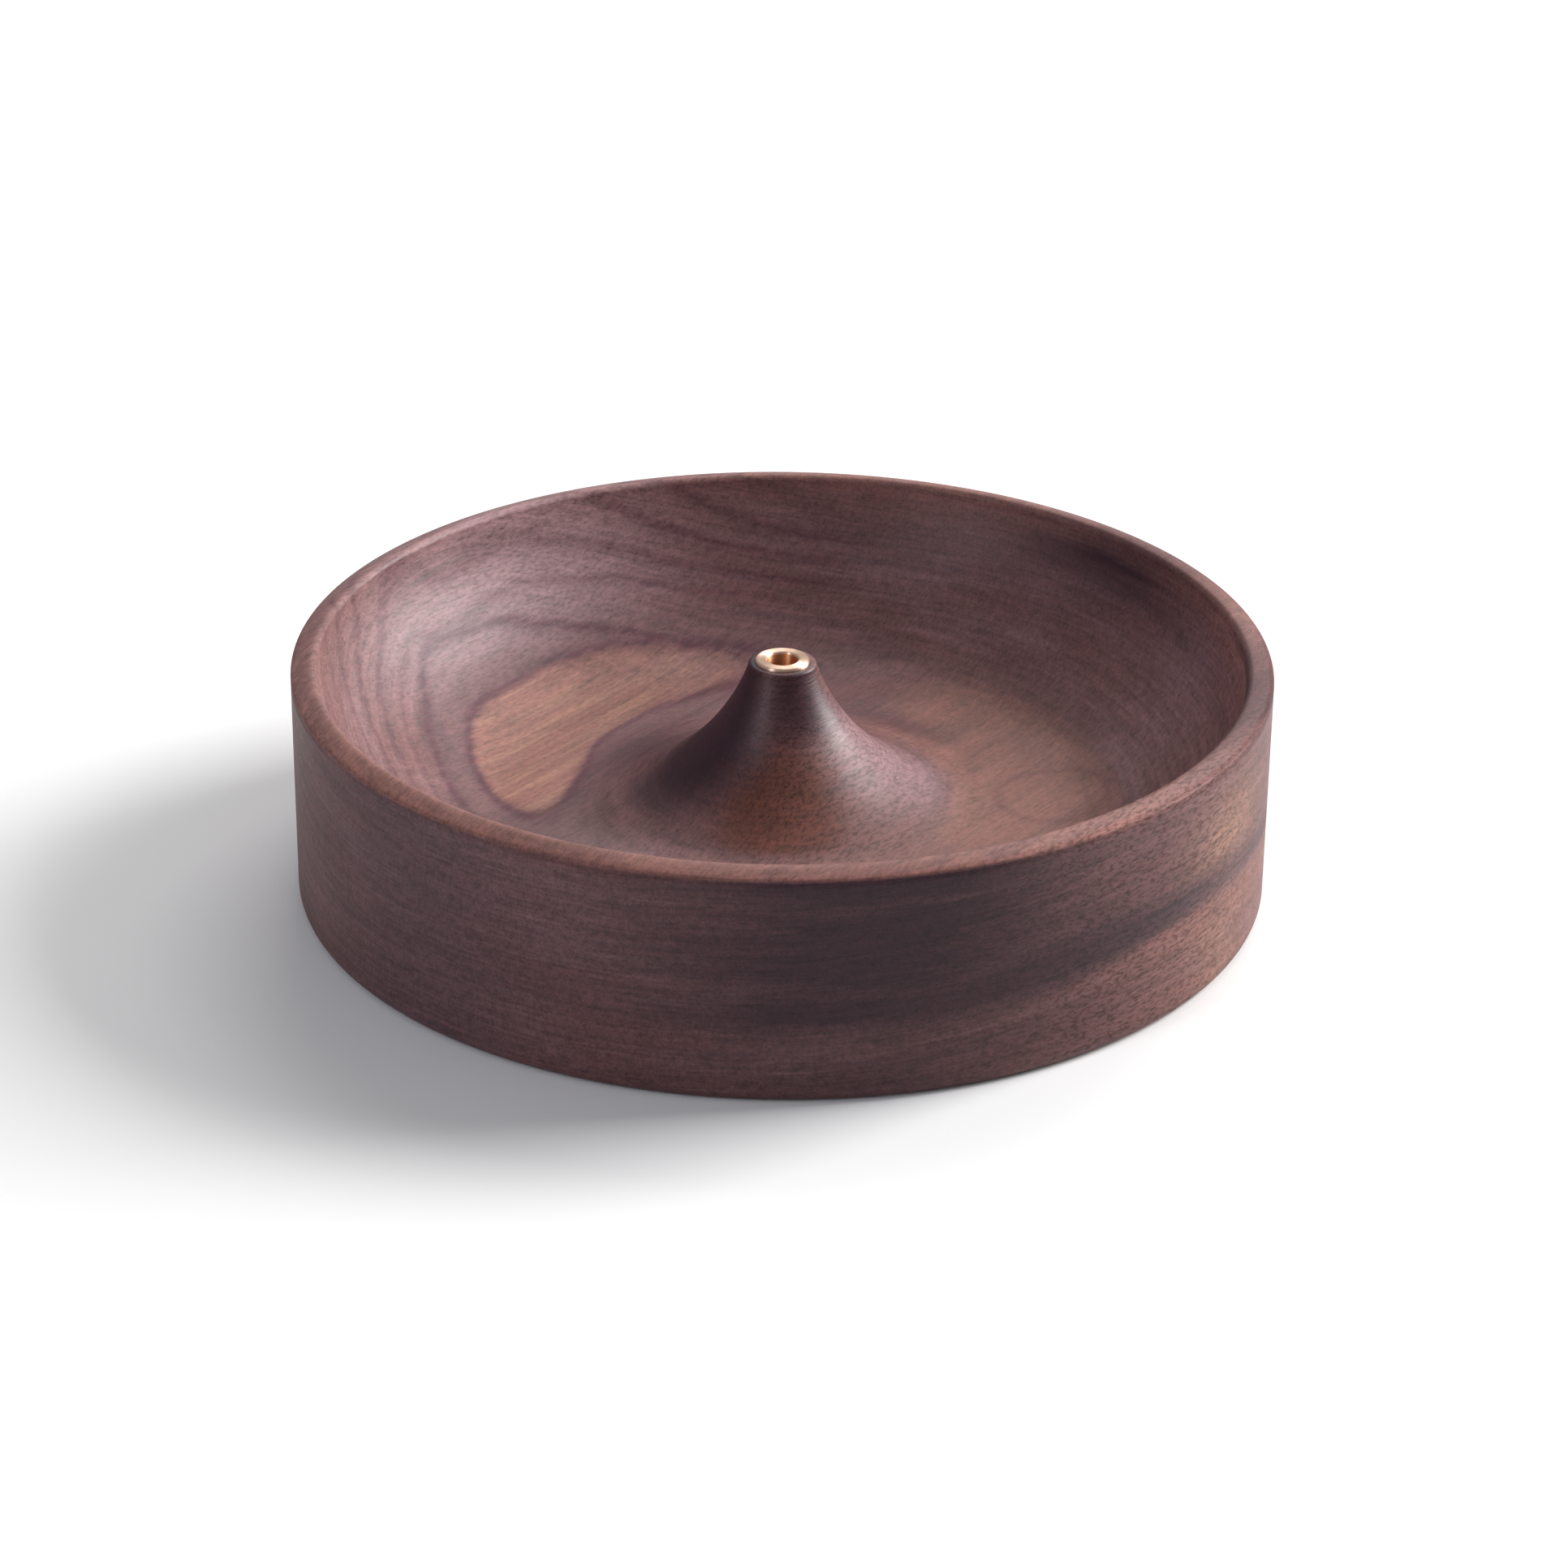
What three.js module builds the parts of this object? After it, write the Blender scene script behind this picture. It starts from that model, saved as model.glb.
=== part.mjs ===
// Round incense tray: a turned hardwood dish with a flared cone in its middle, and a brass
// ferrule set into the cone's top that holds one incense stick upright.
// Millimetres, +Z up. The origin is the centre of the flat underside.

import * as THREE from "three";

// Driving dimensions of the wooden dish
const dishDiameter = 70;
const dishHeight = 17.5;
const footTaper = 0.25; // how much smaller in radius the wall is at its foot
const footRound = 1.0; // radius of the rounded edge round the underside
const rimWidth = 1.9; // from the outer wall to the inner wall
const rimCrown = 0.38; // how far the rim's top falls towards its outer edge
const rimShoulder = 0.4; // distance from its crest over which that fall begins
const rimOuterRound = 0.15;
const rimInnerRound = 0.45;
const bottomThickness = 6.5; // wood left under the lowest ring of the dish
const troughWidth = 3.5; // level ring where the ash gathers
const wallLean = 1.2; // inward lean of the inner wall's upper stretch
const wallDrop = 5.3; // height of that upper stretch
const wallSweep = 7.0; // how far the inner wall runs out level before the trough

// Driving dimensions of the cone in the dish's middle
const coneTopDiameter = 4.9;
const coneBelowRim = 0.3; // the cone's wooden top lies this far below the rim
const coneFootRadius = 16;
const coneEdgeRound = 0.25; // softened edge round the cone's top
const flankLean = 1.0; // outward lean of the steep stretch under the cone's top
const flankDrop = 3.2; // height of that steep stretch
const flankFlare = 8.3; // how far the flank runs out level before the trough

// Driving dimensions of the brass ferrule
const ferruleDiameter = 3.9;
const ferruleLength = 8.0;
const ferruleProud = 0.25; // how far it stands above the cone's wooden top
const ferruleEdgeRound = 0.2; // rounded outer edge of its face
const stickHoleDiameter = 2.2;
const stickHoleDepth = 6.8;
const mouthFlare = 0.2; // rounded mouth of the stick hole
const socketClearance = 0.03; // radial, between the ferrule and its socket

// Facets of the round shapes
const dishFacets = 80;
const ferruleFacets = 40;
const roundSteps = 4;
const rimSteps = 5;
const sweepSteps = 12;

// Heights and radii that follow from the sizes above
const dishRadius = dishDiameter / 2;
const rimInnerRadius = dishRadius - rimWidth;
const troughOuterRadius = coneFootRadius + troughWidth;
const coneTopRadius = coneTopDiameter / 2;
const coneTopHeight = dishHeight - coneBelowRim;
const ferruleRadius = ferruleDiameter / 2;
const ferruleTopHeight = coneTopHeight + ferruleProud;
const socketFloorHeight = ferruleTopHeight - ferruleLength;
const socketRadius = ferruleRadius + socketClearance;

const walnut = new THREE.MeshStandardMaterial({ color: 0x5a3f38, roughness: 0.55, metalness: 0 });
const brass = new THREE.MeshStandardMaterial({ color: 0xd8a860, roughness: 0.25, metalness: 1 });

// A point of a profile: its distance from the axis and its height.
function at(radius, height) {
  return new THREE.Vector2(radius, height);
}

// Points along a quarter of an ellipse round a centre, both ends included. Angles are in
// quarter turns: 0 points away from the axis and 1 points up.
function quarter(centre, halfWidth, halfHeight, startQuarter, endQuarter, steps) {
  const points = [];
  for (let i = 0; i <= steps; i++) {
    const angle = ((startQuarter + ((endQuarter - startQuarter) * i) / steps) * Math.PI) / 2;
    points.push(at(centre.x + halfWidth * Math.cos(angle), centre.y + halfHeight * Math.sin(angle)));
  }
  return points;
}

// Points along a smooth sweep that leaves the first point towards the second and comes into
// the last point from the third.
function sweep(start, startHandle, endHandle, end) {
  return new THREE.CubicBezierCurve(start, startHandle, endHandle, end).getPoints(sweepSteps);
}

// Points along a bend between two points, drawn towards one handle.
function bend(start, handle, end, steps) {
  return new THREE.QuadraticBezierCurve(start, handle, end).getPoints(steps);
}

// One closed solid turned from a profile that starts and ends on the axis.
function turned(name, profile, facets, material) {
  const mesh = new THREE.Mesh(new THREE.LatheGeometry(profile, facets), material);
  mesh.name = name;
  mesh.rotation.x = Math.PI / 2;
  return mesh;
}

// Underside, rounded foot and straight wall, then the rounded outer edge and the rim's top up
// to its crest.
function outsideOfDish() {
  const footRadius = dishRadius - footTaper;
  const edge = at(dishRadius - rimOuterRound, dishHeight - rimCrown);
  const wallTop = at(dishRadius, edge.y - 1.5 * rimOuterRound);
  const edgeHandle = at(dishRadius, edge.y - 0.5 * rimOuterRound);
  const crest = at(rimInnerRadius + rimInnerRound, dishHeight);
  return [
    at(0, 0),
    ...quarter(at(footRadius - footRound, footRound), footRound, footRound, -1, 0, roundSteps),
    ...bend(wallTop, edgeHandle, edge, roundSteps),
    ...bend(edge, at(crest.x + rimShoulder, dishHeight), crest, rimSteps).slice(1),
  ];
}

// Rounded inner edge of the rim and the inner wall down to the level trough.
function insideOfWall() {
  const edgeCentre = at(rimInnerRadius + rimInnerRound, dishHeight - rimInnerRound);
  return [
    ...quarter(edgeCentre, rimInnerRound, rimInnerRound, 1, 2, roundSteps).slice(1),
    ...sweep(
      at(rimInnerRadius, edgeCentre.y),
      at(rimInnerRadius - wallLean, edgeCentre.y - wallDrop),
      at(troughOuterRadius + wallSweep, bottomThickness),
      at(troughOuterRadius, bottomThickness),
    ).slice(1),
  ];
}

// The cone's flank from the trough up to its top, with the softened edge there.
function flankOfCone() {
  const edgeHeight = coneTopHeight - coneEdgeRound;
  const edgeCentre = at(coneTopRadius - coneEdgeRound, edgeHeight);
  return [
    ...sweep(
      at(coneFootRadius, bottomThickness),
      at(coneFootRadius - flankFlare, bottomThickness),
      at(coneTopRadius + flankLean, edgeHeight - flankDrop),
      at(coneTopRadius, edgeHeight),
    ),
    ...quarter(edgeCentre, coneEdgeRound, coneEdgeRound, 0, 1, roundSteps).slice(1),
  ];
}

// Blind socket bored down the cone's axis for the ferrule.
function socketInCone() {
  return [
    at(socketRadius, coneTopHeight),
    at(socketRadius, socketFloorHeight),
    at(0, socketFloorHeight),
  ];
}

// The dish, its foot, wall, trough and cone are one block of wood.
function makeTrayBody() {
  const profile = [...outsideOfDish(), ...insideOfWall(), ...flankOfCone(), ...socketInCone()];
  return turned("tray_body", profile, dishFacets, walnut);
}

// A straight brass cup that rests on the socket's floor, with a blind hole for the stick.
function makeBrassFerrule() {
  const holeRadius = stickHoleDiameter / 2;
  const faceEdge = at(ferruleRadius - ferruleEdgeRound, ferruleTopHeight - ferruleEdgeRound);
  const mouthEdge = at(holeRadius + mouthFlare, ferruleTopHeight - mouthFlare);
  const profile = [
    at(0, socketFloorHeight),
    at(ferruleRadius, socketFloorHeight),
    ...quarter(faceEdge, ferruleEdgeRound, ferruleEdgeRound, 0, 1, roundSteps),
    ...quarter(mouthEdge, mouthFlare, mouthFlare, 1, 2, roundSteps),
    at(holeRadius, ferruleTopHeight - stickHoleDepth),
    at(0, ferruleTopHeight - stickHoleDepth),
  ];
  return turned("brass_ferrule", profile, ferruleFacets, brass);
}

const incenseTray = new THREE.Group();
incenseTray.add(makeTrayBody(), makeBrassFerrule());

export default incenseTray;
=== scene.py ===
import math

import bpy
import numpy as np
from bpy.props import FloatProperty, FloatVectorProperty, IntProperty, PointerProperty
from bpy.types import Operator, Panel, PropertyGroup
from mathutils import Matrix, Vector


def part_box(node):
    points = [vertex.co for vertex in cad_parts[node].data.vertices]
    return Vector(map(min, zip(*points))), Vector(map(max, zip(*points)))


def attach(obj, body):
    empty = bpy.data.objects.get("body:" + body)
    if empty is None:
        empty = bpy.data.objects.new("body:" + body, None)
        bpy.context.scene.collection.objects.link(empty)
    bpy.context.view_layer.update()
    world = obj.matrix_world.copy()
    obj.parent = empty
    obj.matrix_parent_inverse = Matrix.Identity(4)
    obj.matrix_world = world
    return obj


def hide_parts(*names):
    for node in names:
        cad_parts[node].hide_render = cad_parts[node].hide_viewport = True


bl_info = {
    "name": "Walnut Incense Tray",
    "version": (1, 0, 0),
    "blender": (4, 5, 0),
    "location": "View3D > Sidebar > Incense Tray",
    "description": "Turned walnut incense tray with a brass ferrule for one stick",
    "category": "Add Mesh",
}

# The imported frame, its box, and the sizes that the fine pieces take from it
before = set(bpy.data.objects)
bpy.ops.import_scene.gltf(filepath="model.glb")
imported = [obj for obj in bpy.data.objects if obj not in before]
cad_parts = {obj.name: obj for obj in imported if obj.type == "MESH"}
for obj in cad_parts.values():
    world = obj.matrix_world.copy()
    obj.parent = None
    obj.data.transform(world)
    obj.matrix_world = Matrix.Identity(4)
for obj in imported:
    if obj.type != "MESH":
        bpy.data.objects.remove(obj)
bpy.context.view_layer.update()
TRAY_LOW, TRAY_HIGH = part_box("tray_body")
FERRULE_LOW, FERRULE_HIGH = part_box("brass_ferrule")
MILLIMETRE = 0.001
SHARP_EDGE = math.radians(50)
LIGHT_DISTANCE = 1.2
FLOOR_REACH = 3.0
SENSOR_WIDTH = 36.0

# The block's radius and the heights between which wall tones fade out at the rim, in millimetres
BLOCK_RADIUS = 35.0
RIM_LOW, RIM_HIGH = 16.7, 17.1


def length(name, description, default):
    """A size in metres."""
    return FloatProperty(name=name, description=description, default=default, unit="LENGTH")


def share(name, description, default):
    """A value from 0 to 1."""
    return FloatProperty(name=name, description=description, default=default, min=0.0, max=1.0)


def angle(name, description, degrees):
    """A direction or tilt."""
    return FloatProperty(name=name, description=description, default=math.radians(degrees),
                         subtype="ANGLE")


def power(name, description, default):
    """The power of a light in watts."""
    return FloatProperty(name=name, description=description, default=default, unit="POWER")


def tone(name, description, default):
    """A linear colour."""
    return FloatVectorProperty(name=name, description=description, default=default, subtype="COLOR")


class DishSizes(PropertyGroup):
    """Sizes of the dish, its rim and its inner wall."""

    radius: length("Radius", "Outside radius at the rim", TRAY_HIGH.x)
    height: length("Height", "From the table to the rim's crest", TRAY_HIGH.z)
    foot_taper: length("Foot taper", "Radius lost at the wall's foot", 0.00025)
    foot_round: length("Foot round", "Radius of the edge round the underside", 0.001)
    rim_width: length("Rim width", "From the outer wall to the inner wall", 0.0019)
    rim_crown: length("Rim crown", "Fall of the rim's top to its outer edge", 0.00038)
    rim_shoulder: length("Rim shoulder", "Where that fall begins, from the crest", 0.0004)
    rim_outer_round: length("Rim outer round", "Rounded outer edge", 0.00015)
    rim_inner_round: length("Rim inner round", "Rounded inner edge", 0.00045)
    bottom: length("Bottom", "Wood left under the trough", 0.0065)
    trough_width: length("Trough width", "Level ring where the ash gathers", 0.0035)
    wall_lean: length("Wall lean", "Lean of the inner wall's upper stretch", 0.0012)
    wall_drop: length("Wall drop", "Height of that upper stretch", 0.0053)
    wall_sweep: length("Wall sweep", "Level run-out of the inner wall", 0.007)
    facets: IntProperty(
        name="Facets", description="Steps round the dish", default=320, min=48, max=720)


class ConeSizes(PropertyGroup):
    """Sizes of the cone in the dish's middle."""

    top_radius: length("Top radius", "Radius of the wooden top", 0.00245)
    below_rim: length("Below rim", "How far the top lies below the rim", 0.0003)
    foot_radius: length("Foot radius", "Where the flank meets the trough", 0.016)
    edge_round: length("Edge round", "Softened edge round the top", 0.00025)
    flank_lean: length("Flank lean", "Outward lean under the top", 0.001)
    flank_drop: length("Flank drop", "Height of the steep stretch", 0.0032)
    flank_flare: length("Flank flare", "Level run-out of the flank", 0.0083)


class FerruleSizes(PropertyGroup):
    """Sizes of the brass ferrule."""

    radius: length("Radius", "Outside radius", FERRULE_HIGH.x)
    hole_radius: length("Hole radius", "Radius of the stick hole", 0.0011)
    hole_depth: length("Hole depth", "Depth of the blind stick hole", 0.0068)
    mouth_flare: length("Mouth flare", "Rounded mouth of the stick hole", 0.0002)
    edge_round: length("Edge round", "Rounded outer edge of the face", 0.0002)
    socket_clearance: length("Socket clearance", "Radial gap in the socket", 0.00003)
    facets: IntProperty(
        name="Facets", description="Steps round the ferrule", default=96, min=24, max=360)


class WalnutFinish(PropertyGroup):
    """Colours and sheen of the oiled walnut."""

    heartwood: tone("Heartwood", "Common tone of the block", (0.122, 0.051, 0.049))
    # Pale also paints the highlight on the cone's right flank.
    pale: tone("Pale", "Pinkish early wood", (0.230, 0.136, 0.148))
    warm: tone("Warm", "Tan wood in the leaf, on the floor and on worn edges", (0.205, 0.088, 0.068))
    gold: tone("Gold", "Lightest tan streaks", (0.260, 0.138, 0.095))
    russet: tone("Russet", "Reddish wood in front of the cone", (0.092, 0.024, 0.012))
    violet: tone("Violet", "Greyish violet streaks", (0.085, 0.046, 0.056))
    # Dusk at the cone's foot is painted shade.
    dusk: tone("Dusk", "Dark band in the outer wall and at the cone's foot", (0.036, 0.013, 0.020))
    line: tone("Line", "Thin late wood that draws the loops", (0.060, 0.013, 0.023))
    # Ink is also painted shade on the cone's left flank.
    ink: tone("Ink", "Darkest wood, on the cone and under the rim", (0.021, 0.003, 0.010))
    pore_tint: tone("Pore tint", "What is left of the tone in an open pore", (0.52, 0.36, 0.32))
    fibre_azimuth: angle("Fibre azimuth", "Direction of the fibres in plan", 53)
    roughness: share("Roughness", "Of the oiled surface", 0.6)
    specular: share("Specular level", "Sheen of the wood itself", 0.25)
    oil: share("Oil", "Weight of the oil film", 0.10)
    oil_roughness: share("Oil roughness", "Roughness of the oil film", 0.34)


class BrassFinish(PropertyGroup):
    """Colours of the turned brass."""

    face: tone("Face", "Polished face of the ferrule", (0.64, 0.455, 0.355))
    bore: tone("Bore", "Warmer tone inside the stick hole", (0.62, 0.33, 0.18))
    turning: share("Turning", "How strongly the turning marks spread highlights", 0.85)


class StageSettings(PropertyGroup):
    """Light and camera of the product picture."""

    camera_distance: length("Camera distance", "From the aim to the lens", 0.5)
    camera_elevation: angle("Camera elevation", "Above the horizon", 25.497)
    camera_roll: angle("Camera roll", "Tilt of the camera about its axis", 0.556)
    lens: FloatProperty(
        name="Lens", description="Focal length in millimetres on a 36 mm sensor", default=159.75)
    aim: FloatVectorProperty(
        name="Aim", description="Point that the camera looks at", subtype="XYZ", unit="LENGTH",
        default=(0.000189, 0.0, 0.007524))
    key_power: power("Key power", "Softbox behind the tray to the right", 33.0)
    back_power: power("Back power", "Higher softbox almost straight behind", 6.3)
    fill_power: power("Fill power", "Weak card in front to the left", 4.7)
    world_strength: FloatProperty(
        name="Room light", description="Strength of the white room", default=0.42)


class TraySettings(PropertyGroup):
    """Everything that a user would change on the tray."""

    dish: PointerProperty(type=DishSizes)
    cone: PointerProperty(type=ConeSizes)
    ferrule: PointerProperty(type=FerruleSizes)
    walnut: PointerProperty(type=WalnutFinish)
    brass: PointerProperty(type=BrassFinish)
    stage: PointerProperty(type=StageSettings)


def quarter(centre, half_width, half_height, start, end, steps):
    """Points along a quarter of an ellipse, angles in quarter turns from straight out."""
    angles = np.linspace(start, end, steps + 1) * math.pi / 2
    return [(centre[0] + half_width * math.cos(a), centre[1] + half_height * math.sin(a)) for a in angles]


def sweep(start, start_handle, end_handle, end, steps):
    """Points along a cubic curve with one handle at each end."""
    t = np.linspace(0, 1, steps + 1)[:, None]
    points = ((1 - t) ** 3 * np.array(start) + 3 * t * (1 - t) ** 2 * np.array(start_handle)
              + 3 * t * t * (1 - t) * np.array(end_handle) + t ** 3 * np.array(end))
    return [tuple(p) for p in points]


def bend(start, handle, end, steps):
    """Points along a bend between two points, drawn towards one handle."""
    t = np.linspace(0, 1, steps + 1)[:, None]
    points = (1 - t) ** 2 * np.array(start) + 2 * t * (1 - t) * np.array(handle) + t * t * np.array(end)
    return [tuple(p) for p in points]


def stretch(start, end, steps):
    """Points along a straight stretch, without its first point."""
    start, end = np.array(start), np.array(end)
    return [tuple(start + (end - start) * i / steps) for i in range(1, steps + 1)]


def turned_mesh(name, profile, facets):
    """A closed mesh turned from a profile that starts and ends on the axis."""
    inner = profile[1:-1]
    angles = np.linspace(0, 2 * math.pi, facets, endpoint=False)
    vertices = [(0.0, 0.0, profile[0][1]), (0.0, 0.0, profile[-1][1])]
    for radius, height in inner:
        vertices += [(radius * math.cos(a), radius * math.sin(a), height) for a in angles]
    faces = []
    for i in range(facets):
        j = (i + 1) % facets
        faces.append((0, 2 + j, 2 + i))
        last = 2 + (len(inner) - 1) * facets
        faces.append((1, last + i, last + j))
        for row in range(len(inner) - 1):
            low, high = 2 + row * facets, 2 + (row + 1) * facets
            faces.append((low + i, low + j, high + j, high + i))
    mesh = bpy.data.meshes.new(name)
    mesh.from_pydata(vertices, [], faces)
    mesh.shade_smooth()
    mesh.set_sharp_from_angle(angle=SHARP_EDGE)
    mesh.validate()
    return mesh


def tray_profile(dish, cone, ferrule):
    """Section of the wooden tray, from the middle of the underside to the socket's floor."""
    foot_radius = dish.radius - dish.foot_taper
    edge = (dish.radius - dish.rim_outer_round, dish.height - dish.rim_crown)
    edge_handle = (dish.radius, edge[1] - 0.5 * dish.rim_outer_round)
    wall_top = (dish.radius, edge[1] - 1.5 * dish.rim_outer_round)
    rim_inner = dish.radius - dish.rim_width
    crest = (rim_inner + dish.rim_inner_round, dish.height)
    inner_edge_height = dish.height - dish.rim_inner_round
    trough_outer = cone.foot_radius + dish.trough_width
    cone_height = dish.height - cone.below_rim
    shoulder = (cone.top_radius - cone.edge_round, cone_height - cone.edge_round)
    socket_radius = ferrule.radius + ferrule.socket_clearance
    points = [(0.0, 0.0)]
    points += stretch(points[0], (foot_radius - dish.foot_round, 0.0), steps=12)
    points += quarter((foot_radius - dish.foot_round, dish.foot_round),
                      dish.foot_round, dish.foot_round, -1, 0, steps=10)[1:]
    points += stretch(points[-1], wall_top, steps=16)
    points += bend(wall_top, edge_handle, edge, steps=6)[1:]
    points += bend(edge, (crest[0] + dish.rim_shoulder, dish.height), crest, steps=10)[1:]
    points += quarter((crest[0], inner_edge_height), dish.rim_inner_round, dish.rim_inner_round,
                      1, 2, steps=8)[1:]
    points += sweep(points[-1], (rim_inner - dish.wall_lean, inner_edge_height - dish.wall_drop),
                    (trough_outer + dish.wall_sweep, dish.bottom), (trough_outer, dish.bottom),
                    steps=40)[1:]
    points += stretch(points[-1], (cone.foot_radius, dish.bottom), steps=6)
    points += sweep(points[-1], (cone.foot_radius - cone.flank_flare, dish.bottom),
                    (cone.top_radius + cone.flank_lean, shoulder[1] - cone.flank_drop),
                    (cone.top_radius, shoulder[1]), steps=48)[1:]
    points += quarter(shoulder, cone.edge_round, cone.edge_round, 0, 1, steps=5)[1:]
    points += [(socket_radius, cone_height), (socket_radius, FERRULE_LOW.z), (0.0, FERRULE_LOW.z)]
    return points


def ferrule_profile(ferrule):
    """Section of the brass cup, from the middle of its base to the floor of the stick hole."""
    top, edge = FERRULE_HIGH.z, ferrule.edge_round
    hole_floor = top - ferrule.hole_depth
    mouth_radius = ferrule.hole_radius + ferrule.mouth_flare
    points = [(0.0, FERRULE_LOW.z), (ferrule.radius, FERRULE_LOW.z)]
    points += stretch(points[-1], (ferrule.radius, top - edge), steps=4)
    points += quarter((ferrule.radius - edge, top - edge), edge, edge, 0, 1, steps=8)[1:]
    points += stretch(points[-1], (mouth_radius, top), steps=6)
    points += quarter((mouth_radius, top - ferrule.mouth_flare), ferrule.mouth_flare,
                      ferrule.mouth_flare, 1, 2, steps=8)[1:]
    points += stretch(points[-1], (ferrule.hole_radius, hole_floor), steps=6)
    points += [(0.0, hole_floor)]
    return points


class NodeGraph:
    """Adds and links the nodes of one material. An input is a socket, a number or a colour."""

    def __init__(self, name):
        self.material = bpy.data.materials.new(name)
        self.material.use_nodes = True
        self.tree = self.material.node_tree
        self.shader = self.tree.nodes["Principled BSDF"]

    def feed(self, socket, value):
        if isinstance(value, bpy.types.NodeSocket):
            self.tree.links.new(value, socket)
        else:
            socket.default_value = value

    def add(self, kind, inputs, output, **settings):
        node = self.tree.nodes.new(kind)
        for key, value in settings.items():
            setattr(node, key, value)
        for key, value in inputs.items():
            self.feed(node.inputs[key], value)
        return node.outputs[output]

    def math(self, operation, first, second=0.0):
        return self.add("ShaderNodeMath", {0: first, 1: second}, 0, operation=operation)

    def chain(self, operation, values):
        result = values[0]
        for value in values[1:]:
            result = self.math(operation, result, value)
        return result

    def total(self, *values):
        return self.chain("ADD", values)

    def product(self, *values):
        return self.chain("MULTIPLY", values)

    def largest(self, *values):
        return self.chain("MAXIMUM", values)

    def scaled(self, value, centre, reach):
        """How many reaches a value lies from a centre."""
        return self.math("DIVIDE", self.math("SUBTRACT", value, centre), reach)

    def hill(self, *offsets):
        """A smooth hill over one or more offsets that are counted in reaches."""
        squares = [self.math("MULTIPLY", offset, offset) for offset in offsets]
        return self.math("EXPONENT", self.math("MULTIPLY", self.total(*squares), -1.0))

    def distance(self, x, y):
        """How far a place lies from the axis of x and y."""
        return self.math("SQRT", self.total(self.product(x, x), self.product(y, y)))

    def split(self, vector):
        return [self.add("ShaderNodeSeparateXYZ", {0: vector}, i) for i in range(3)]

    def join(self, x, y, z):
        return self.add("ShaderNodeCombineXYZ", {0: x, 1: y, 2: z}, 0)

    def noise(self, vector, scale, detail=2.0, roughness=0.5):
        inputs = {"Vector": vector, "Scale": scale, "Detail": detail, "Roughness": roughness}
        return self.add("ShaderNodeTexNoise", inputs, "Fac")

    def between(self, value, low, high, out_low=0.0, out_high=1.0, smooth=True):
        """Goes from out_low to out_high while the value goes from low to high."""
        inputs = {"Value": value, "From Min": low, "From Max": high, "To Min": out_low, "To Max": out_high}
        return self.add("ShaderNodeMapRange", inputs, 0,
                        interpolation_type="SMOOTHSTEP" if smooth else "LINEAR")

    def blend(self, amount, first, second, kind="MIX"):
        """Mixes two colours, from the first at 0 to the second at 1."""
        node = self.tree.nodes.new("ShaderNodeMix")
        node.data_type, node.blend_type = "RGBA", kind
        self.feed(node.inputs[0], amount)
        for socket, colour in ((node.inputs[6], first), (node.inputs[7], second)):
            self.feed(socket, colour if isinstance(colour, bpy.types.NodeSocket) else (*colour, 1.0))
        return node.outputs[2]

    def bump(self, height, distance, strength):
        inputs = {"Height": height, "Distance": distance, "Strength": strength}
        return self.add("ShaderNodeBump", inputs, 0)


class Block:
    """Places in the walnut block, in millimetres: along the fibres, across them and up."""

    def __init__(self, graph, walnut):
        self.graph = graph
        place = graph.add("ShaderNodeTexCoord", {}, "Object")
        turned = graph.add("ShaderNodeMapping", {
            "Vector": place, "Rotation": (0.0, 0.0, -walnut.fibre_azimuth),
            "Scale": (1 / MILLIMETRE, 1 / MILLIMETRE, 1 / MILLIMETRE)}, 0)
        self.along, self.across, self.up = graph.split(turned)
        self.radius = graph.distance(self.along, self.across)
        self.below_rim = graph.between(self.up, RIM_HIGH, RIM_LOW)
        self.drift = graph.math("SUBTRACT", self.noise(0.06, 0.12, 0.10, 2.0), 0.5)
        self.layer = self.growth_layers()
        self.leaf = self.leaf_field()
        self.leaf_side = graph.between(self.across, 4.0, 10.0)

    def stretched_noise(self, along, across, height, detail=2.0, roughness=0.5):
        """Noise with its own number of waves per millimetre along and across the fibres."""
        graph = self.graph
        place = graph.join(graph.product(self.along, along), graph.product(self.across, across), height)
        return graph.noise(place, 1.0, detail, roughness)

    def noise(self, along, across, up, detail=2.0, roughness=0.5):
        """Noise through the block, with its waves per millimetre in each direction."""
        height = self.graph.product(self.up, up)
        return self.stretched_noise(along, across, height, detail, roughness)

    def layer_noise(self, along, across, layer, detail=2.0, roughness=0.5):
        """Noise that follows the growth layers."""
        height = self.graph.product(self.layer, layer)
        return self.stretched_noise(along, across, height, detail, roughness)

    def patch(self, centre, reach):
        """A soft upright patch, by its centre and reach along and across the fibres."""
        return self.graph.hill(self.graph.scaled(self.along, centre[0], reach[0]),
                               self.graph.scaled(self.across, centre[1], reach[1]))

    def growth_layers(self):
        """Height within the block's growth layers, which curl up at both edges."""
        graph = self.graph
        out = graph.math("DIVIDE", self.across, BLOCK_RADIUS)
        edge = graph.math("POWER", graph.math("ABSOLUTE", out), 4.0)
        curl = graph.product(edge, graph.between(self.across, -10.0, 10.0, 2.5, 9.0))
        return graph.math("SUBTRACT", self.up, curl)

    def leaf_field(self):
        """A bent leaf where the lathe cut through lower layers: 1 on its edge, more outside."""
        graph = self.graph
        start = graph.scaled(self.along, 0.8, -14.5)
        end = graph.scaled(self.along, 0.8, 17.0)
        reach = graph.math("POWER", graph.largest(start, end, 0.0), 3.5)
        bow = graph.math("SUBTRACT", self.along, 3.0)
        middle = graph.math("SUBTRACT", 21.1, graph.product(bow, bow, 0.029))
        half_width = graph.between(self.along, -6.0, 2.0, 5.3, 4.45)
        side = graph.scaled(self.across, middle, half_width)
        field = graph.math("SQRT", graph.total(reach, graph.product(side, side)))
        ragged = graph.math("SUBTRACT", self.noise(0.25, 0.9, 0.5, 3.0, 0.6), 0.5)
        return graph.total(field, graph.product(self.drift, 0.22), graph.product(ragged, 0.16))


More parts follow.
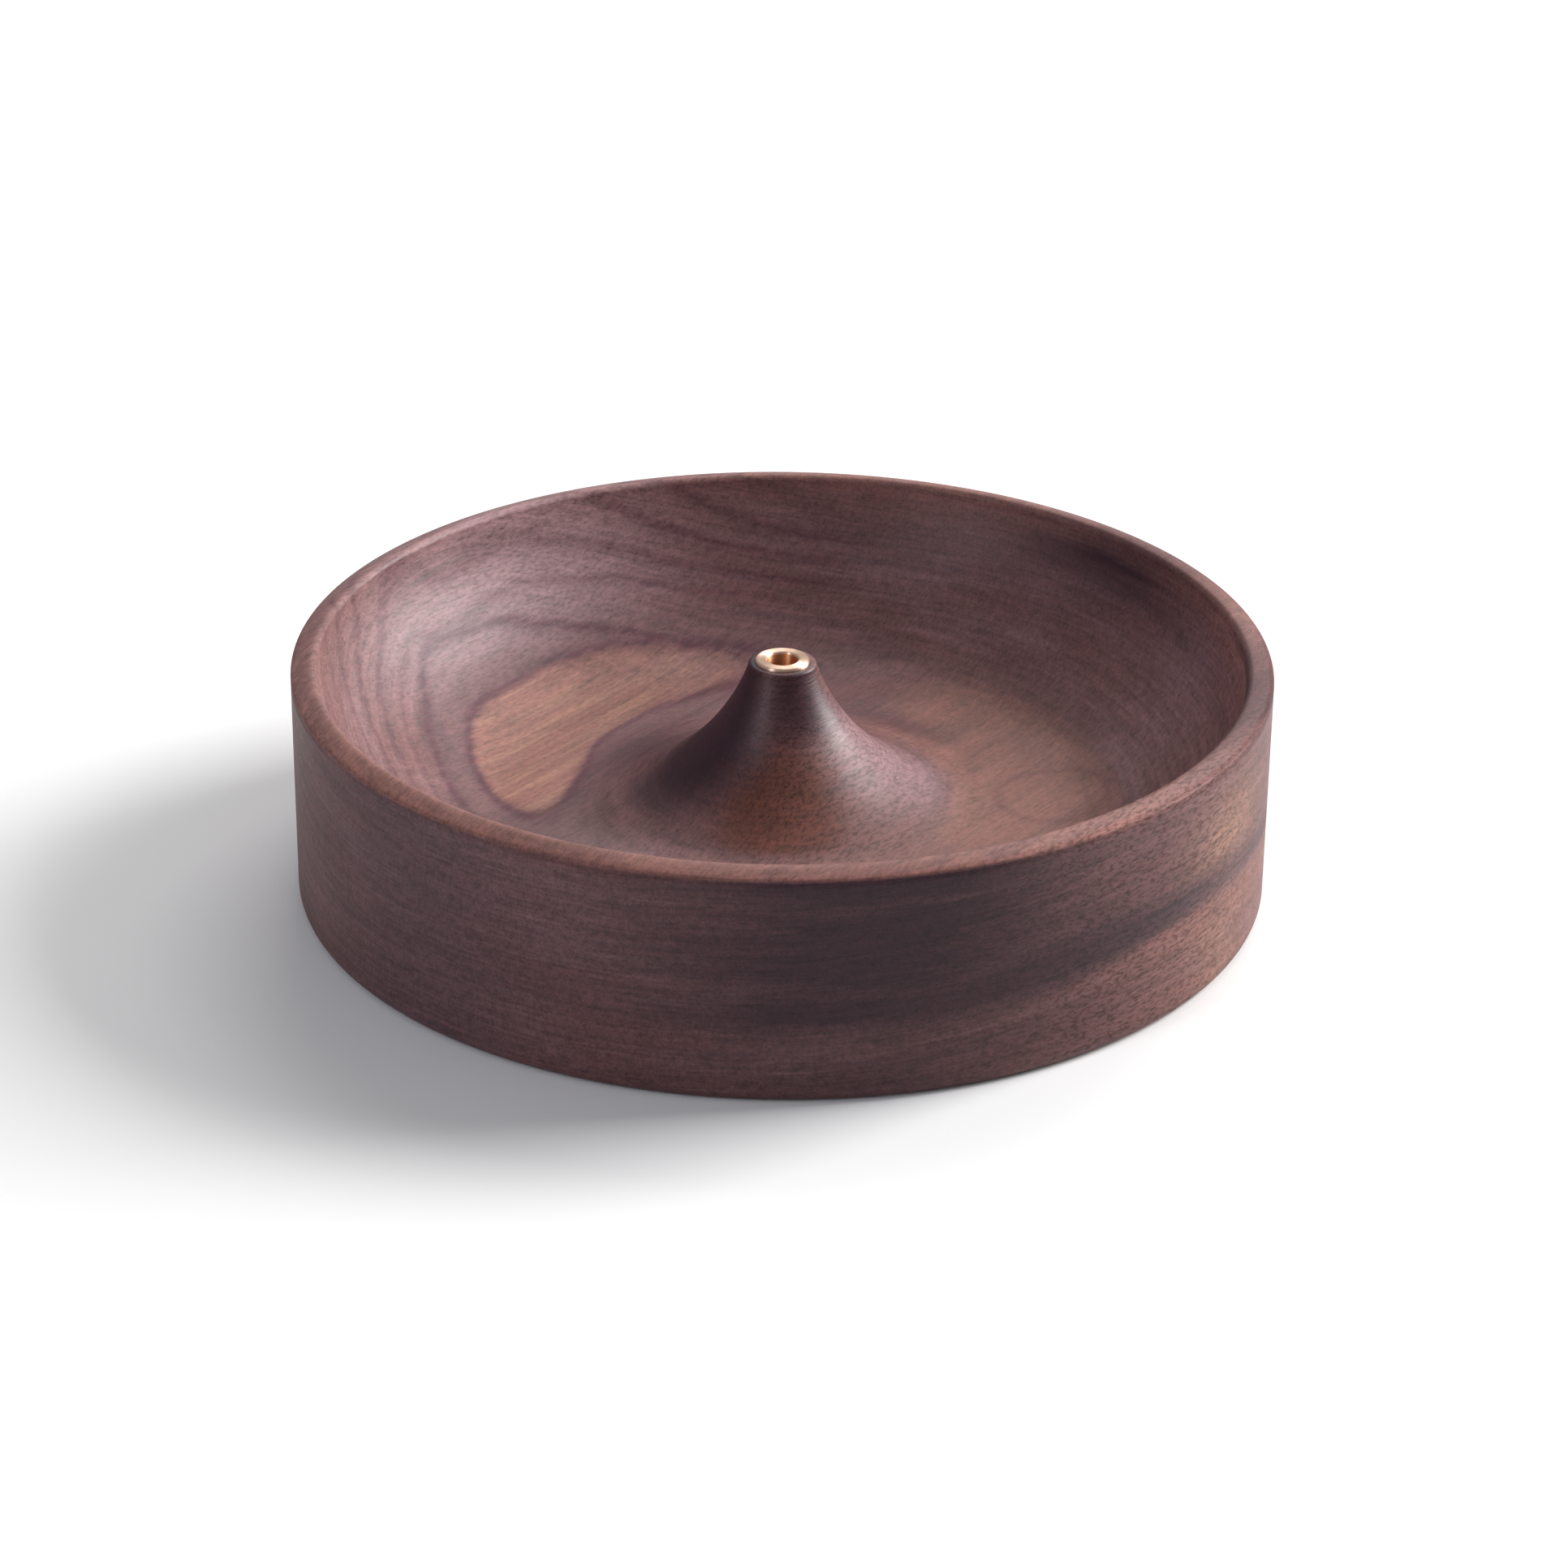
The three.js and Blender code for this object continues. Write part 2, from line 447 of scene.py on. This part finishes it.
def heartwood_tones(block, walnut):
    """The block's slow changes of tone and its soft streaks along the growth layers."""
    graph = block.graph
    broad = block.layer_noise(0.035, 0.07, 0.28)
    drifting_layer = graph.total(graph.product(block.layer, 1.3), block.drift)
    streak = block.stretched_noise(0.035, 0.09, drifting_layer, 4.0, 0.6)
    colour = graph.blend(graph.between(broad, 0.40, 0.85, 0.0, 0.30), walnut.heartwood, walnut.pale)
    colour = graph.blend(graph.between(streak, 0.48, 0.78, 0.0, 0.30), colour, walnut.pale)
    return graph.blend(graph.between(streak, 0.52, 0.26, 0.0, 0.42), colour, walnut.violet)


def pale_wood_and_flank_highlight(block, walnut, colour):
    """Pale wood on the left and right walls and the floor's left front, and a pale patch on the cone's
    right flank that partly paints its highlight.
    """
    graph = block.graph
    shoulder = graph.product(block.patch((6.0, 31.0), (17.0, 8.0)), graph.between(block.up, 7.2, 10.5))
    # Pale patch on the cone's right flank: paler wood with a painted highlight over it.
    flank = graph.product(block.patch((5.0, -7.0), (5.0, 4.2)), 0.9)
    right_wall = graph.product(block.patch((22.0, -19.0), (8.0, 6.0)), 0.20)
    front = graph.product(block.patch((-13.8, 3.0), (2.6, 7.0)), 0.45)
    return graph.blend(graph.largest(shoulder, flank, right_wall, front), colour, walnut.pale)


def tan_floor(block):
    """Where the dish's floor is tan, to the right of the cone and in front of it."""
    graph = block.graph
    right = graph.product(graph.between(block.across, 6.0, -1.0), graph.between(block.along, -6.0, 4.0))
    front = graph.between(block.across, 2.0, -6.0, 0.0, 0.6)
    return graph.product(graph.between(block.layer, 7.4, 6.6), graph.between(block.up, 6.2, 6.45),
                         graph.between(block.radius, 34.4, 33.6), graph.largest(right, front))


def tan_wall_foot(block):
    """Where the foot of the outer wall is tan, mostly at its right end."""
    graph = block.graph
    right = graph.product(graph.between(block.along, -11.0, 4.0), graph.between(block.across, -20.0, -32.0))
    return graph.product(graph.between(block.layer, 5.7, 4.3),
                         graph.between(block.layer, 0.8, 3.4, 0.45, 1.0),
                         graph.total(graph.product(right, 0.70), 0.08))


def worn_rim(block):
    """Where the rim and the wall's upper inside are worn to a lighter tone."""
    graph = block.graph
    inner_edge = graph.product(graph.between(block.up, 13.5, 17.2, 0.0, 0.7),
                               graph.between(block.radius, 34.8, 34.3))
    return graph.product(graph.largest(inner_edge, graph.between(block.up, 16.5, 17.15, 0.0, 0.75)),
                         graph.between(block.across, 33.0, 12.0, 0.35, 1.0),
                         graph.between(block.noise(0.12, 0.5, 0.5), 0.3, 0.6, 0.55, 1.0))


def warm_wood(block, walnut, colour):
    """Tan wood in the leaf, on the floor, on the worn rim and at the outer wall's right end."""
    graph = block.graph
    heart = graph.product(graph.between(block.leaf, 1.04, 0.92), block.leaf_side,
                          graph.between(block.along, 15.0, 3.0, 0.55, 1.0))
    amount = graph.largest(heart, tan_floor(block), tan_wall_foot(block), worn_rim(block))
    colour = graph.blend(graph.product(amount, 0.85), colour, walnut.warm)
    streaks = graph.between(block.noise(0.05, 1.3, 1.3, 2.0, 0.6), 0.46, 0.66)
    wall_patch = graph.product(block.patch((6.5, -35.0), (5.5, 8.0)),
                               graph.hill(graph.scaled(block.up, 12.0, 2.8)), 0.75)
    wall_end = graph.product(block.patch((6.0, -35.0), (4.0, 8.0)),
                             graph.between(block.layer, 4.2, 2.8), 0.4)
    return graph.blend(graph.largest(graph.product(heart, streaks, 0.55), wall_patch, wall_end),
                       colour, walnut.gold)


def loop_lines(block, walnut, colour):
    """The nested loops round the leaf, which stop at the rim."""
    graph, leaf = block.graph, block.leaf
    inside = graph.product(graph.between(leaf, 4.2, 3.3), block.leaf_side,
                           graph.between(block.radius, 34.6, 34.2))
    ring = graph.product(graph.between(leaf, 0.95, 1.1), graph.between(leaf, 1.9, 1.7), inside)
    colour = graph.blend(graph.product(ring, 0.22), colour, walnut.violet)
    first = graph.scaled(leaf, 1.02, graph.between(block.along, 2.0, 13.0, 0.095, 0.17))
    first = graph.product(graph.hill(first), 0.92)
    fall = graph.product(graph.largest(graph.math("SUBTRACT", block.along, 2.0), 0.0), 0.075)
    level = graph.math("SUBTRACT", graph.between(block.along, -9.0, -3.0, 1.68, 2.01), fall)
    second = graph.product(graph.hill(graph.scaled(leaf, level, 0.12)),
                           graph.between(block.across, 12.0, 17.0, 0.12, 0.88))
    wave = graph.math("COSINE", graph.product(graph.scaled(leaf, 2.12, 0.42), 2 * math.pi))
    crest = graph.math("POWER", graph.total(graph.product(wave, 0.5), 0.5), 3.0)
    nested = graph.product(crest, graph.between(leaf, 1.9, 2.2),
                           graph.between(block.across, 12.0, 17.0), 0.52)
    broken = graph.between(block.noise(0.12, 1.6, 1.6, 3.0, 0.6), 0.35, 0.60, 0.55, 1.0)
    lines = graph.product(graph.largest(first, second, nested), inside, broken)
    return graph.blend(lines, colour, walnut.line)


def floor_figure(block, walnut, colour):
    """A faint loop and a dark crescent on the right of the floor, and russet before the cone."""
    graph = block.graph
    field = graph.distance(graph.scaled(block.across, -15.3, 4.0), graph.scaled(block.along, 12.3, 4.4))
    loop = graph.hill(graph.scaled(graph.total(field, graph.product(block.drift, 0.3)), 1.0, 0.10))
    loop = graph.product(loop, graph.between(block.up, 7.6, 7.2), 0.25)
    crescent = graph.product(block.patch((15.2, 1.0), (1.7, 4.8)),
                             graph.between(block.up, 8.0, 7.0), 0.72)
    colour = graph.blend(graph.largest(loop, crescent), colour, walnut.line)
    front = graph.between(block.patch((-7.0, -5.4), (4.8, 4.9)), 0.05, 0.75, 0.0, 0.88)
    front = graph.product(front, graph.between(block.up, 7.1, 7.6))
    skirt = graph.product(block.patch((-2.0, -11.0), (5.0, 4.5)), 0.32)
    return graph.blend(graph.largest(front, skirt), colour, walnut.russet)


def outer_wall_shades(block, walnut, colour, wisps):
    """The dark front and band of the outer wall, its violet left and the rim's dark right."""
    graph = block.graph
    front = graph.product(block.patch((-24.0, -25.5), (17.0, 14.0)),
                          graph.between(block.layer, 4.5, 6.2, 0.52, 1.22), wisps)
    band_low = graph.between(block.along, -14.0, 3.0, 2.8, 4.9)
    band_high = graph.between(block.along, -12.0, 2.0, 10.6, 8.2)
    band = graph.product(graph.between(block.layer, band_low, 5.8),
                         graph.between(block.layer, band_high, 6.4),
                         graph.between(block.across, -16.0, -27.0),
                         graph.between(block.along, -4.0, 9.0, 0.92, 0.45))
    rim_right = graph.product(block.patch((16.0, -30.0), (14.0, 8.0)),
                              graph.between(block.up, 16.4, 17.0), 0.75)
    dark = graph.largest(graph.product(graph.largest(front, band), block.below_rim), rim_right)
    colour = graph.blend(dark, colour, walnut.dusk)
    left = graph.product(block.patch((-37.0, 6.0), (10.0, 10.0)), wisps, 0.75)
    return graph.blend(graph.product(left, block.below_rim), colour, walnut.violet)


def dark_wood_and_painted_shade(block, walnut, colour):
    """Dark wood in the outer wall and at the cone's tip, a dark patch under the rim at the back, dark
    end-grain wood deepened by painted shade on the cone's left flank, and painted shade at the cone's foot.
    """
    graph = block.graph
    wisps = graph.between(block.noise(0.05, 0.05, 0.55, 3.0, 0.55), 0.25, 0.62, 0.55, 1.0)
    colour = outer_wall_shades(block, walnut, colour, wisps)
    # Painted shade: dusk over the foot of the cone's left flank.
    foot = graph.product(block.patch((-7.2, 5.0), (3.4, 4.6)), graph.between(block.up, 6.9, 7.9), 0.70)
    side = graph.product(block.patch((-0.5, 12.0), (5.5, 4.0)), 0.75)
    colour = graph.blend(graph.largest(foot, side), colour, walnut.dusk)
    under_rim = graph.hill(graph.scaled(block.across, -7.5, 9.0), graph.scaled(block.up, 15.6, 2.8))
    under_rim = graph.product(under_rim, graph.between(block.along, 20.0, 26.0), wisps, 1.15)
    # Ink on the cone's left flank: dark end-grain wood, deepened with painted shade on the flank's shaded
    # side.
    cone = graph.product(graph.between(block.patch((-3.8, 3.4), (5.2, 5.0)), 0.10, 0.80),
                         graph.between(block.up, 7.0, 9.0))
    tip = graph.product(block.patch((-1.2, -2.6), (3.2, 3.2)), graph.between(block.up, 11.5, 14.0), 0.9)
    return graph.blend(graph.largest(under_rim, cone, tip), colour, walnut.ink)


def wood_grain_and_wall_shade(block, walnut, colour, fibres, pores):
    """Open pores, fibres and fine mottling over the figure, and painted shade that darkens the outer wall
    below the rim.
    """
    graph = block.graph
    weave = block.noise(1.7, 4.6, 4.6, 2.0, 0.6)
    stripes = block.noise(0.05, 1.7, 1.7, 3.0, 0.6)
    grain = block.layer_noise(0.05, 0.22, 4.5, 3.0, 0.6)
    open_pores = graph.largest(block.patch((-3.5, -7.0), (7.5, 6.5)),
                               block.patch((-3.0, -37.0), (14.0, 9.0)),
                               graph.product(block.patch((2.0, 30.0), (16.0, 7.0)), 0.35))
    spots = graph.product(graph.between(weave, 0.46, 0.68),
                          graph.between(open_pores, 0.0, 0.9, 0.16, 0.95))
    colour = graph.blend(spots, colour, walnut.pore_tint, "MULTIPLY")
    # Painted shade: the outer wall below the rim is made darker than its wood, standing in for less light
    # falling on it.
    outside = graph.product(graph.between(block.radius, 34.3, 34.7), block.below_rim)
    strength = graph.total(graph.between(fibres, 0.25, 0.75, 0.84, 1.16, smooth=False),
                           graph.between(stripes, 0.25, 0.75, -0.17, 0.17, smooth=False),
                           graph.between(weave, 0.25, 0.60, 0.16, -0.12, smooth=False),
                           graph.between(grain, 0.25, 0.75, -0.24, 0.24, smooth=False),
                           graph.between(open_pores, 0.0, 0.9, 0.01, 0.08),
                           graph.product(outside, -0.17), graph.product(pores, -0.22))
    return graph.add("ShaderNodeVectorMath", {0: colour, 3: strength}, 0, operation="SCALE")


def wood_roughness(block, walnut, fibres):
    """Even sheen, duller at the rim's outer edge and smoother round the cone's tip."""
    graph = block.graph
    spread = 0.05
    dull_edge = graph.product(graph.between(block.radius, 34.5, 34.8),
                              graph.between(block.up, 16.3, RIM_LOW), 0.3)
    handled = graph.product(graph.between(block.radius, 7.0, 4.0),
                            graph.between(block.up, 10.5, 13.5), -0.14)
    even = graph.between(fibres, 0.3, 0.7, walnut.roughness - spread, walnut.roughness + spread)
    return graph.total(even, dull_edge, handled)


def make_walnut(walnut):
    """Oiled walnut cut from one solid block: layers, loops, fibres and pores."""
    graph = NodeGraph("oiled_walnut")
    block = Block(graph, walnut)
    fibres = block.noise(0.16, 2.6, 2.6, 3.0, 0.6)
    pores = graph.between(block.noise(0.45, 8.0, 8.0, 1.0), 0.56, 0.70)
    colour = heartwood_tones(block, walnut)
    for layer in (pale_wood_and_flank_highlight, warm_wood, loop_lines, floor_figure, dark_wood_and_painted_shade):
        colour = layer(block, walnut, colour)
    graph.feed(graph.shader.inputs["Base Color"], wood_grain_and_wall_shade(block, walnut, colour, fibres, pores))
    graph.feed(graph.shader.inputs["Roughness"], wood_roughness(block, walnut, fibres))
    graph.shader.inputs["Specular IOR Level"].default_value = walnut.specular
    graph.shader.inputs["Coat Weight"].default_value = walnut.oil
    graph.shader.inputs["Coat Roughness"].default_value = walnut.oil_roughness
    relief = graph.math("SUBTRACT", graph.product(fibres, 0.5), pores)
    graph.feed(graph.shader.inputs["Normal"], graph.bump(relief, distance=0.00003, strength=0.3))
    return graph.material


def make_brass(brass, ferrule):
    """Turned brass: bright face with fine tool marks, warmer in the bore."""
    graph = NodeGraph("polished_brass")
    place = graph.add("ShaderNodeTexCoord", {}, "Object")
    x, y, z = graph.split(graph.add("ShaderNodeVectorMath", {0: place, 3: 1 / MILLIMETRE}, 0,
                                    operation="SCALE"))
    radius = graph.distance(x, y)
    depth = graph.math("SUBTRACT", FERRULE_HIGH.z / MILLIMETRE, z)
    hole = ferrule.hole_radius / MILLIMETRE
    in_bore = graph.product(graph.between(radius, hole + 0.20, hole + 0.02),
                            graph.between(depth, 0.0, 0.25))
    tint = graph.noise(graph.join(x, y, z), 2.2, 3.0, 0.55)
    colour = graph.blend(graph.between(tint, 0.35, 0.7, 0.0, 0.25), brass.face, brass.bore)
    colour = graph.blend(in_bore, colour, brass.bore)
    graph.feed(graph.shader.inputs["Base Color"], colour)
    graph.shader.inputs["Metallic"].default_value = 1.0
    graph.feed(graph.shader.inputs["Roughness"], graph.between(tint, 0.3, 0.7, 0.36, 0.46))

    # Turning marks run round the axis, so highlights spread across them
    graph.shader.inputs["Anisotropic"].default_value = brass.turning
    graph.shader.inputs["Anisotropic Rotation"].default_value = 0.25
    graph.feed(graph.shader.inputs["Tangent"],
               graph.add("ShaderNodeTangent", {}, 0, direction_type="RADIAL", axis="Z"))
    mark_rate, wander = 75.0, 3.0
    phase = graph.total(graph.product(radius, mark_rate), graph.product(tint, wander))
    marks = graph.math("SINE", phase)
    graph.feed(graph.shader.inputs["Normal"], graph.bump(marks, distance=0.000002, strength=0.3))
    return graph.material


def add_piece(mesh, material, node):
    """Places one fine piece over its CAD node, riding on the tray's only body."""
    piece = bpy.data.objects.new(mesh.name, mesh)
    bpy.context.scene.collection.objects.link(piece)
    mesh.materials.append(material)
    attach(piece, "root")
    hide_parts(node)
    return piece


class INCENSE_OT_tray_body(Operator):
    """Add the turned walnut tray, one block with its cone"""

    bl_idname = "incense.tray_body"
    bl_label = "Walnut tray"
    bl_options = {"REGISTER", "UNDO"}

    def execute(self, context):
        tray = context.scene.incense_tray
        profile = tray_profile(tray.dish, tray.cone, tray.ferrule)
        mesh = turned_mesh("walnut_tray", profile, tray.dish.facets)
        add_piece(mesh, make_walnut(tray.walnut), "tray_body")
        return {"FINISHED"}


class INCENSE_OT_brass_ferrule(Operator):
    """Add the brass ferrule that holds the stick"""

    bl_idname = "incense.brass_ferrule"
    bl_label = "Brass ferrule"
    bl_options = {"REGISTER", "UNDO"}

    def execute(self, context):
        tray = context.scene.incense_tray
        mesh = turned_mesh("stick_ferrule", ferrule_profile(tray.ferrule), tray.ferrule.facets)
        add_piece(mesh, make_brass(tray.brass, tray.ferrule), "brass_ferrule")
        return {"FINISHED"}


def add_softbox(name, azimuth, elevation, size, power, colour):
    """A rectangular area light that looks at the tray from a compass direction, in degrees."""
    data = bpy.data.lights.new(name, "AREA")
    data.shape, data.size, data.size_y = "RECTANGLE", size[0], size[1]
    data.energy, data.color = power, colour
    lamp = bpy.data.objects.new(name, data)
    bpy.context.scene.collection.objects.link(lamp)
    a, e = math.radians(azimuth), math.radians(elevation)
    out = Vector((math.cos(a) * math.cos(e), math.sin(a) * math.cos(e), math.sin(e)))
    lamp.location = out * LIGHT_DISTANCE + Vector((0.0, 0.0, TRAY_HIGH.z / 2))
    lamp.rotation_euler = out.to_track_quat("Z", "Y").to_euler()


def add_floor():
    """A wide pale floor."""
    corners = [(-FLOOR_REACH, -FLOOR_REACH, 0), (FLOOR_REACH, -FLOOR_REACH, 0),
               (FLOOR_REACH, FLOOR_REACH, 0), (-FLOOR_REACH, FLOOR_REACH, 0)]
    mesh = bpy.data.meshes.new("floor")
    mesh.from_pydata(corners, [], [(0, 1, 2, 3)])
    floor = bpy.data.objects.new("floor", mesh)
    bpy.context.scene.collection.objects.link(floor)
    graph = NodeGraph("pale_floor")
    place = graph.add("ShaderNodeTexCoord", {}, "Object")
    graph.feed(graph.shader.inputs["Base Color"],
               graph.blend(graph.noise(place, 40.0, 3.0), (0.66, 0.66, 0.66), (0.68, 0.68, 0.68)))
    graph.shader.inputs["Roughness"].default_value = 0.8
    mesh.materials.append(graph.material)


def add_world(strength):
    """A white room seen past the floor's edge."""
    world = bpy.data.worlds.new("white_room")
    bpy.context.scene.world = world
    world.use_nodes = True
    world.node_tree.nodes["Background"].inputs["Color"].default_value = (1.0, 1.0, 1.0, 1.0)
    world.node_tree.nodes["Background"].inputs["Strength"].default_value = strength


def add_camera(stage):
    """A camera in front of the tray, rolled slightly as in the picture."""
    data = bpy.data.cameras.new("camera")
    data.lens, data.sensor_width = stage.lens, SENSOR_WIDTH
    data.clip_start, data.clip_end = 0.01, 20.0
    camera = bpy.data.objects.new("camera", data)
    bpy.context.scene.collection.objects.link(camera)
    e, roll = stage.camera_elevation, stage.camera_roll
    back = Vector((0.0, -math.cos(e), math.sin(e)))
    level, upright = Vector((1.0, 0.0, 0.0)), Vector((0.0, math.sin(e), math.cos(e)))
    right = level * math.cos(roll) + upright * math.sin(roll)
    top = upright * math.cos(roll) - level * math.sin(roll)
    pose = Matrix((right, top, back)).transposed().to_4x4()
    pose.translation = Vector(stage.aim) + back * stage.camera_distance
    camera.matrix_world = pose
    bpy.context.scene.camera = camera


class INCENSE_OT_stage(Operator):
    """Add the pale floor, the soft light and the camera"""

    bl_idname = "incense.stage"
    bl_label = "Floor, light and camera"
    bl_options = {"REGISTER", "UNDO"}

    def execute(self, context):
        stage = context.scene.incense_tray.stage
        add_floor()
        add_world(stage.world_strength)
        add_softbox("key_softbox", azimuth=22.0, elevation=27.0, size=(0.6, 0.75),
                    power=stage.key_power, colour=(1.0, 0.99, 0.98))
        add_softbox("back_softbox", azimuth=75.0, elevation=45.0, size=(0.7, 0.6),
                    power=stage.back_power, colour=(1.0, 0.97, 0.94))
        add_softbox("fill_card", azimuth=222.0, elevation=28.0, size=(0.22, 0.9),
                    power=stage.fill_power, colour=(0.83, 0.86, 1.0))
        add_camera(stage)
        context.scene.view_settings.view_transform = "Standard"
        return {"FINISHED"}


class INCENSE_PT_tray(Panel):
    """Lists the tray's pieces and the stage"""

    bl_idname = "INCENSE_PT_tray"
    bl_label = "Incense Tray"
    bl_space_type = "VIEW_3D"
    bl_region_type = "UI"
    bl_category = "Incense Tray"

    def draw(self, context):
        tray = context.scene.incense_tray
        for operator, groups in PANEL_ROWS:
            box = self.layout.box()
            box.operator(operator)
            for group in groups:
                settings = getattr(tray, group)
                for key in settings.__annotations__:
                    box.prop(settings, key)


PANEL_ROWS = (
    ("incense.tray_body", ("dish", "cone", "walnut")),
    ("incense.brass_ferrule", ("ferrule", "brass")),
    ("incense.stage", ("stage",)),
)

CLASSES = (
    DishSizes,
    ConeSizes,
    FerruleSizes,
    WalnutFinish,
    BrassFinish,
    StageSettings,
    TraySettings,
    INCENSE_OT_tray_body,
    INCENSE_OT_brass_ferrule,
    INCENSE_OT_stage,
    INCENSE_PT_tray,
)


def register():
    for cls in CLASSES:
        bpy.utils.register_class(cls)
    bpy.types.Scene.incense_tray = PointerProperty(type=TraySettings)


def unregister():
    del bpy.types.Scene.incense_tray
    for cls in reversed(CLASSES):
        bpy.utils.unregister_class(cls)


def main():
    register()
    bpy.ops.incense.tray_body()
    bpy.ops.incense.brass_ferrule()
    bpy.ops.incense.stage()


if __name__ == "__main__":
    main()
